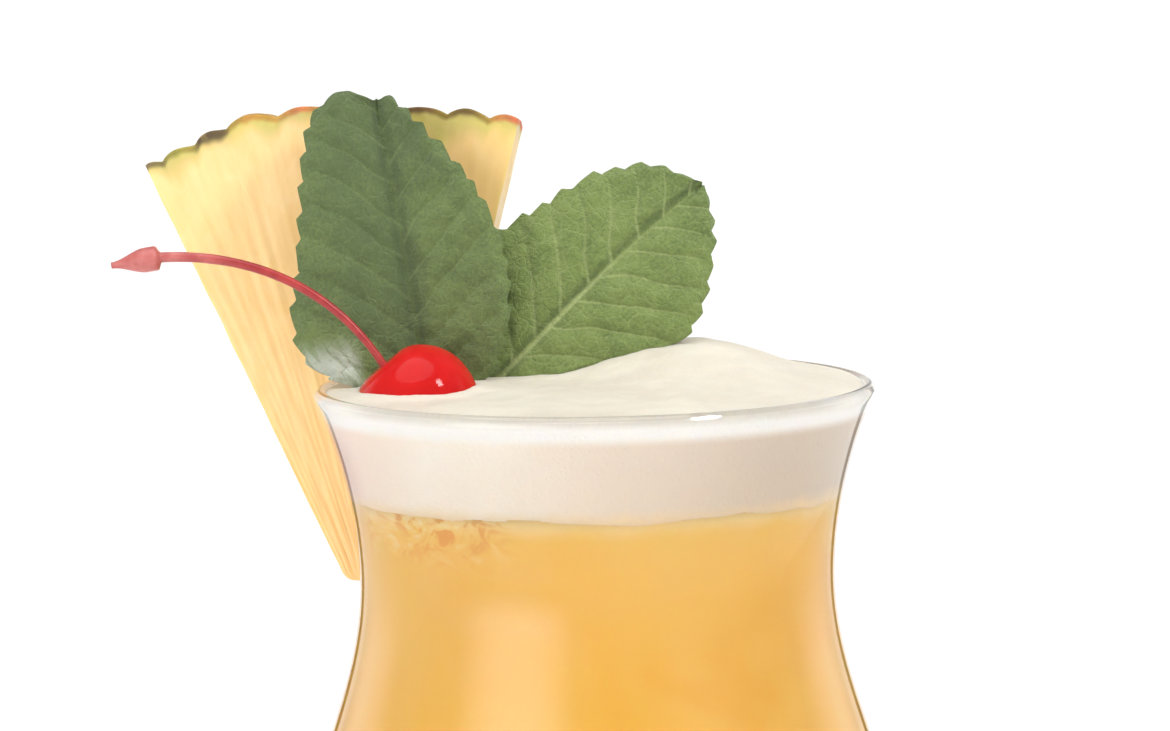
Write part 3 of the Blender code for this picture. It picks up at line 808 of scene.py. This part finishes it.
def make_cherry():
    body = bmesh.new()
    bmesh.ops.create_uvsphere(body, u_segments=96, v_segments=64, radius=CHERRY_RADIUS)
    turn = Vector((0, 0, 1)).rotation_difference(STEM_DIRECTION).to_matrix().to_4x4()
    bmesh.ops.transform(body, matrix=Matrix.Translation(CHERRY_CENTRE) @ turn, verts=body.verts)
    for vertex in body.verts:
        outward = (vertex.co - CHERRY_CENTRE).normalized()
        angle = outward.angle(STEM_DIRECTION)
        vertex.co -= outward * DIMPLE_DEPTH * math.exp(-((angle / DIMPLE_WIDTH) ** 2))
        vertex.co += outward * 0.1 * MM * noise.noise(outward * 1.7)
    item = add_object("cherry_body", mesh_of(body, "cherry_body"), cherry_paint())
    settle(item, "cherry")


def tube_mesh(name, stations, sides):
    """A closed tube through (place, radius) stations."""
    body = bmesh.new()
    rings = []
    side = Vector((0, 1, 0))
    for i, (place, radius) in enumerate(stations):
        ahead = stations[min(i + 1, len(stations) - 1)][0] - stations[max(i - 1, 0)][0]
        ahead.normalize()
        side = (side - ahead * side.dot(ahead)).normalized()
        other = ahead.cross(side)
        spokes = [(side * math.cos(a) + other * math.sin(a)) * radius for a in turns(sides)]
        rings.append([body.verts.new(place + spoke) for spoke in spokes])
    for low, high in zip(rings, rings[1:]):
        join_rings(body, low, high)
    body.faces.new(rings[0])
    body.faces.new(rings[-1])
    bmesh.ops.recalc_face_normals(body, faces=body.faces)
    return mesh_of(body, name)


def make_stem():
    start = CHERRY_CENTRE + STEM_DIRECTION * (CHERRY_RADIUS - DIMPLE_DEPTH - 0.3 * MM)
    route = (start, *STEM_ROUTE)
    stations = []
    for u in spread(0, 1, 90):
        bumpy = 1 + 0.06 * noise.noise(Vector((u * 14, 0.2, 0.0)))
        stations.append((bezier(route, u)[0], (STEM_THIN + (STEM_THICK - STEM_THIN) * u) * bumpy))
    end, heading = bezier(route, 1.0)
    for along in spread(0.03, 1.0, 24):
        droop = Vector((0, 0, -0.8 * MM)) * along
        flare = STEM_THICK + (KNOB_RADIUS - STEM_THICK) * smoothstep(0.0, 0.09, along)
        taper = 1 - (1 - KNOB_TIP_RADIUS / KNOB_RADIUS) * smoothstep(0.3, 1.0, along)
        stations.append((end + heading * KNOB_LENGTH * along + droop, flare * taper))
    item = add_object("cherry_stem_body", tube_mesh("cherry_stem_body", stations, 20), stem_paint())
    settle(item, "cherry_stem")


def margin_at(points, u):
    """A smooth curve through the margin's points, at a share of its length."""
    spots = [Vector((along * LEAF_LENGTH, out)) for along, out in points]
    steps = [0.0]
    for low, high in zip(spots, spots[1:]):
        steps.append(steps[-1] + (high - low).length)
    target = u * steps[-1]
    k = max(i for i in range(len(spots) - 1) if steps[i] <= target)
    t = (target - steps[k]) / (steps[k + 1] - steps[k])
    before = spots[max(k - 1, 0)]
    after = spots[min(k + 2, len(spots) - 1)]
    low, high = spots[k], spots[k + 1]
    span = (high - low).length
    start = (high - before) * (span / (span + (low - before).length))
    finish = (after - low) * (span / (span + (after - high).length))
    w = 1 - t
    spot = low * (1 + 2 * t) * w * w + high * t * t * (3 - 2 * t)
    spot += start * t * w * w - finish * t * t * w
    return spot.x / LEAF_LENGTH, spot.y * MM


def leaf_rows(spec, rows):
    """For each row: its share of the midrib, and where it meets the left and the right margin."""
    left, right = spec["margins"]
    return [(u, margin_at(left, u), margin_at(right, u)) for u in spread(0, 1, rows + 1)]


def tooth_at(spec, half, u):
    """How far the margin stands out from its line, where its teeth point to the leaf's tip."""
    count = u * spec["teeth"] + 0.35 * noise.noise(Vector((u * 9, half * 5.0, spec["teeth"])))
    saw = (count + 0.2) % 1.0
    deep = 0.75 + 0.5 * noise.noise(Vector((math.floor(count + 0.2) * 1.7, half * 3.0, 0.5)))
    fade = smoothstep(0.02, 0.1, u) * smoothstep(1.0, 0.93, u)
    rise = 1 - (1 - saw / 0.8) ** 1.15 if saw < 0.8 else ((1 - saw) / 0.2) ** 1.3
    return TOOTH_DEPTH * deep * (rise - 0.6) * fade


def beside_vein(half, station, across):
    """0 on a side vein and 1 midway between two of them, which curve towards the leaf's tip."""
    phase = (station - 0.95 * across + 0.6 * across * across) / VEIN_SPACING + 0.5 * half
    warp = 0.16 * noise.noise(Vector((station * 9, across * 9, half * 4.0)))
    return abs(math.sin(math.pi * (phase + warp)))


def leaf_point(spec, midrib, row, v):
    """A point of the blade, where v runs from -1 at the left margin to 1 at the right one.

    Gives its place and facing, its flat coordinates, and the strength of its veins and of the painted shadow
    in its crease.
    """
    u, *margins = row
    half = 1 if v > 0 else 0
    size = abs(v)
    along, out = margins[half]
    station = u + (along - u) * size
    place, heading = bezier(midrib, station)
    right = heading.cross(spec["facing"]).normalized()
    toward = right.cross(heading).normalized()
    side = right if half else -right
    reach = size * out + tooth_at(spec, half, u) * size**12
    flat = Vector((reach * (1 if half else -1), station * LEAF_LENGTH * MM, 0.0))
    fold = spec["folds"][half]
    beside = beside_vein(half, station, reach / (LEAF_LENGTH * MM))

    ripple = spec["wave"] * MM * math.sin(7.5 * u + 1.3 * half) * v * v
    inner = smoothstep(1.0, 0.86, size) * smoothstep(0.0, 0.25, size) * smoothstep(0.0, 0.08, u)
    quilt = 0.6 * MM * beside**0.6 * inner
    groove = -0.35 * MM * math.exp(-((reach / (0.9 * MM)) ** 2))
    rough = 0.22 * MM * noise.noise(flat / (1.6 * MM)) + 0.3 * MM * noise.noise(flat / (4.5 * MM))
    curl = -0.5 * MM * smoothstep(0.8, 1.0, size) * (0.6 + noise.noise(flat / (6 * MM)))
    place = place + side * (reach * math.cos(fold))
    place += toward * (reach * math.sin(fold) + ripple + quilt + groove + rough + curl)

    vein = smoothstep(0.2 * (1.2 - size), 0.0, beside)
    vein *= smoothstep(1.02, 0.8, size) * smoothstep(0.0, 0.06, u)
    strength, loss = spec["rib"]
    rib = smoothstep(0.55 * MM * (1.25 - u), 0.1 * MM, reach)
    rib *= strength - loss * clamp((station - 0.45) / 0.3)
    shade = spec["crease"][half] * math.exp(-(((reach - 0.8 * MM) / (0.5 * MM)) ** 2))
    return place, toward, flat, max(spec["veins"] * vein, rib), shade


def left_leaf_light(flat):
    """Painted light and shade: the left leaf is dark down its middle, lighter right of its midrib and palest
    low at the left, as its folded blade faces the light or away from it.
    """
    x, y = flat.x / MM, flat.y / MM
    right = 0.75 * smoothstep(-0.5, 4.0, x) * smoothstep(38.0, 28.0, y)
    low = smoothstep(15.0, 9.0, y + 0.5 * x + 5.0) * smoothstep(-4.0, -8.0, x)
    edge = 0.35 * smoothstep(-9.5, -12.5, x)
    return min(1.0, max(right, low, edge))


def right_leaf_light(flat):
    """Painted light and shade: the right leaf is palest over its middle stretch, and darker low at the
    right.
    """
    x, y = flat.x / MM, flat.y / MM
    middle = smoothstep(44.0, 30.0, y) * smoothstep(0.0, 8.0, y)
    return 0.35 + 0.5 * middle - 0.35 * smoothstep(4.0, 10.0, x) * smoothstep(24.0, 12.0, y)


def make_leaf(name, node, spec, light_and_tone, finish):
    rows, columns = 260, 110
    body = bmesh.new()
    vein_layer = body.verts.layers.float.new("vein")
    light_and_tone_layer = body.verts.layers.float.new("light_and_tone")
    shade_layer = body.verts.layers.float.new("shade")
    uv = body.loops.layers.uv.new("UVMap")
    midrib = [Vector(p) * MM + Vector((0, 0, GLASS_HEIGHT)) for p in spec["midrib"]]
    front, back = [], []
    flats = {}
    for row in leaf_rows(spec, rows):
        sheets = ([], [])
        for i in range(columns + 1):
            v = -1 + 2 * i / columns
            place, toward, flat, vein, shade = leaf_point(spec, midrib, row, v)
            for sheet, level in zip(sheets, (0.5, -0.5)):
                vert = body.verts.new(place + toward * level * LEAF_THICKNESS * (1 - 0.6 * v**8))
                vert[vein_layer] = vein
                vert[shade_layer] = shade
                vert[light_and_tone_layer] = light_and_tone(flat)
                flats[vert] = (0.5 + flat.x / LEAF_SHEET, flat.y / LEAF_SHEET)
                sheet.append(vert)
        front.append(sheets[0])
        back.append(sheets[1])
    for j in range(rows):
        for i in range(columns):
            for sheet in (front, back):
                body.faces.new((sheet[j][i], sheet[j][i + 1], sheet[j + 1][i + 1], sheet[j + 1][i]))
        for i in (0, columns):
            body.faces.new((front[j][i], front[j + 1][i], back[j + 1][i], back[j][i]))
    for i in range(columns):
        for j in (0, rows):
            body.faces.new((front[j][i], front[j][i + 1], back[j][i + 1], back[j][i]))
    bmesh.ops.recalc_face_normals(body, faces=body.faces)
    for face in body.faces:
        for loop in face.loops:
            loop[uv].uv = flats[loop.vert]
    settle(add_object(name, mesh_of(body, name), finish), node)


# The studio.


def aim(item, target):
    item.rotation_euler = (Vector(target) - item.location).to_track_quat("-Z", "Y").to_euler()


def direction(azimuth, elevation=0.0):
    """The way from the drink to that azimuth, right of the camera, and elevation, in degrees."""
    a, e = math.radians(azimuth), math.radians(elevation)
    return Vector((math.sin(a) * math.cos(e), -math.cos(a) * math.cos(e), math.sin(e)))


def area_light(name, azimuth, elevation, distance, size, radiance):
    """A square soft box that faces the drink."""
    data = bpy.data.lights.new(name, "AREA")
    data.shape = "RECTANGLE"
    data.size = data.size_y = size
    data.energy = radiance * size * size * math.pi
    item = bpy.data.objects.new(name, data)
    bpy.context.scene.collection.objects.link(item)
    centre = Vector((0, 0, 0.17))
    item.location = centre + direction(azimuth, elevation) * distance
    aim(item, centre)


def card(name, finish, azimuth, distance, height, width):
    """An upright card that stands on the table, faces the drink and doesn't hide it from the camera."""
    body = bmesh.new()
    bmesh.ops.create_grid(body, x_segments=1, y_segments=1, size=0.5)
    item = add_object(name, mesh_of(body, name), finish)
    away = direction(azimuth)
    up = Vector((0, 0, 1))
    turn = Matrix((up.cross(away), up, away)).transposed().to_4x4()
    size = Matrix.Diagonal((width, height, 1, 1))
    item.matrix_world = Matrix.Translation(away * distance + up * height / 2) @ turn @ size
    item.visible_camera = False


def softbox_glow(name, strength, foot):
    """A glow that fades into the room's light towards the card's edges, at the lower one below foot."""
    paint = Paint(name)
    x, y, _ = paint.split(paint.place())
    across = paint.times(paint.ramp(x, -0.5, -0.08), paint.ramp(x, 0.5, 0.08))
    upright = paint.times(paint.ramp(y, -0.5, foot), paint.ramp(y, 0.5, 0.2))
    glow = paint.times(paint.times(across, upright), strength)
    room = paint.ramp(y, -0.5, 0.3, HORIZON_LIGHT, WORLD_LIGHT + 0.1)
    return paint.shine(paint.plus(glow, room))


def make_cove():
    """A round wall far off, whose light fades from the floor's white to the light above."""
    body = bmesh.new()
    low = level_ring(body, COVE_RADIUS, -0.01, 96)
    high = level_ring(body, COVE_RADIUS, COVE_HEIGHT, 96)
    join_rings(body, high, low)
    paint = Paint("cove glow")
    _, _, z = paint.split(paint.place())
    glow = paint.shine(paint.ramp(z, 0.0, COVE_HEIGHT, HORIZON_LIGHT, WORLD_LIGHT))
    add_object("cove", mesh_of(body, "cove"), glow)


def make_cards():
    """The front left one gives the pale band down the drink, and the two behind the drink its pale edges."""
    card("softbox", softbox_glow("softbox glow", 2.85, -0.25), -39, 0.55, 0.5, 0.66)
    for azimuth in (122, -122):
        card("fill", softbox_glow("fill glow", 0.95, -0.2), azimuth, 0.6, 0.6, 0.5)
    card("right fill", softbox_glow("right glow", 0.5, 0.0), 48, 0.8, 0.7, 0.8)
    dark = Paint("dark card", Base_Color=(0.03, 0.03, 0.03, 1), Roughness=0.9).material
    for azimuth in (154, -154):
        card("flag", dark, azimuth, 0.42, 0.5, 0.05)


def make_sun():
    """A high, very soft light, a little left of and before the drink."""
    sun = bpy.data.lights.new("top", "SUN")
    sun.energy = 1.9
    sun.angle = math.radians(60)
    lamp = bpy.data.objects.new("top", sun)
    bpy.context.scene.collection.objects.link(lamp)
    lamp.location = (-0.08, -0.2, 0.97)
    aim(lamp, Vector((0, 0, 0)))


def make_floor():
    body = bmesh.new()
    bmesh.ops.create_circle(body, cap_ends=True, segments=64, radius=14.0)
    paint = Paint("floor", Roughness=0.9)
    shade = paint.noise(paint.place(), 2.0, 2.0)
    paint.set(Base_Color=paint.mix(shade, (0.97, 0.97, 0.97, 1), (0.98, 0.98, 0.98, 1)))
    floor = add_object("floor", mesh_of(body, "floor"), paint.material)
    floor.location.z = -FLOOR_DROP


def make_studio():
    scene = bpy.context.scene
    world = bpy.data.worlds.new("studio")
    scene.world = world
    world.use_nodes = True
    back = world.node_tree.nodes["Background"]
    back.inputs["Color"].default_value = (1, 1, 1, 1)
    back.inputs["Strength"].default_value = WORLD_LIGHT
    make_cove()
    make_cards()
    area_light("window", 53, 44, 0.7, 0.12, 52.0)
    make_sun()
    make_floor()
    scene.view_settings.view_transform = "Standard"
    scene.view_settings.look = "None"


def make_camera():
    """The photograph's camera: the rim's centre lands at its pixel of the frame."""
    focal = RIM_PIXELS / RIM_WIDTH * CAMERA_DISTANCE
    rim = Vector((0, 0, GLASS_HEIGHT))
    back = Vector((0, -math.cos(CAMERA_ELEVATION), math.sin(CAMERA_ELEVATION)))
    location = rim + CAMERA_DISTANCE * back
    ahead = (rim - location).normalized()
    right = Vector((1, 0, 0))
    up = right.cross(ahead)
    rolled_right = right * math.cos(CAMERA_ROLL) - up * math.sin(CAMERA_ROLL)
    rolled_up = right * math.sin(CAMERA_ROLL) + up * math.cos(CAMERA_ROLL)
    across = (RIM_CENTRE_PIXEL[0] - FRAME_WIDTH / 2) / focal
    down = (RIM_CENTRE_PIXEL[1] - FRAME_HEIGHT / 2) / focal
    seen = Vector((across, -down, -1)).normalized()
    swing = Vector((0, 0, -1)).rotation_difference(seen).to_matrix()
    turn = Matrix((rolled_right, rolled_up, -ahead)).transposed() @ swing.transposed()
    data = bpy.data.cameras.new("camera")
    data.sensor_fit = "HORIZONTAL"
    data.sensor_width = SENSOR_WIDTH
    data.lens = SENSOR_WIDTH * focal / FRAME_WIDTH
    data.clip_start = 0.01
    data.clip_end = 100
    item = bpy.data.objects.new("camera", data)
    bpy.context.scene.collection.objects.link(item)
    item.matrix_world = Matrix.Translation(location) @ turn.to_4x4()
    bpy.context.scene.camera = item


make_studio()
make_camera()
make_glass()
make_juice()
make_foam()
make_wedge()
make_cherry()
make_stem()
left_finish = mint_paint(
    "mint left", linear(99, 119, 69), linear(123, 143, 78), linear(152, 172, 112), 0.22, foam_and_sheen=0.95
)
make_leaf("mint_leaf_left_body", "mint_leaf_left", LEAF_LEFT, left_leaf_light, left_finish)
right_finish = mint_paint(
    "mint right", linear(106, 128, 65), linear(137, 158, 82), linear(186, 200, 132), 0.26
)
make_leaf("mint_leaf_right_body", "mint_leaf_right", LEAF_RIGHT, right_leaf_light, right_finish)
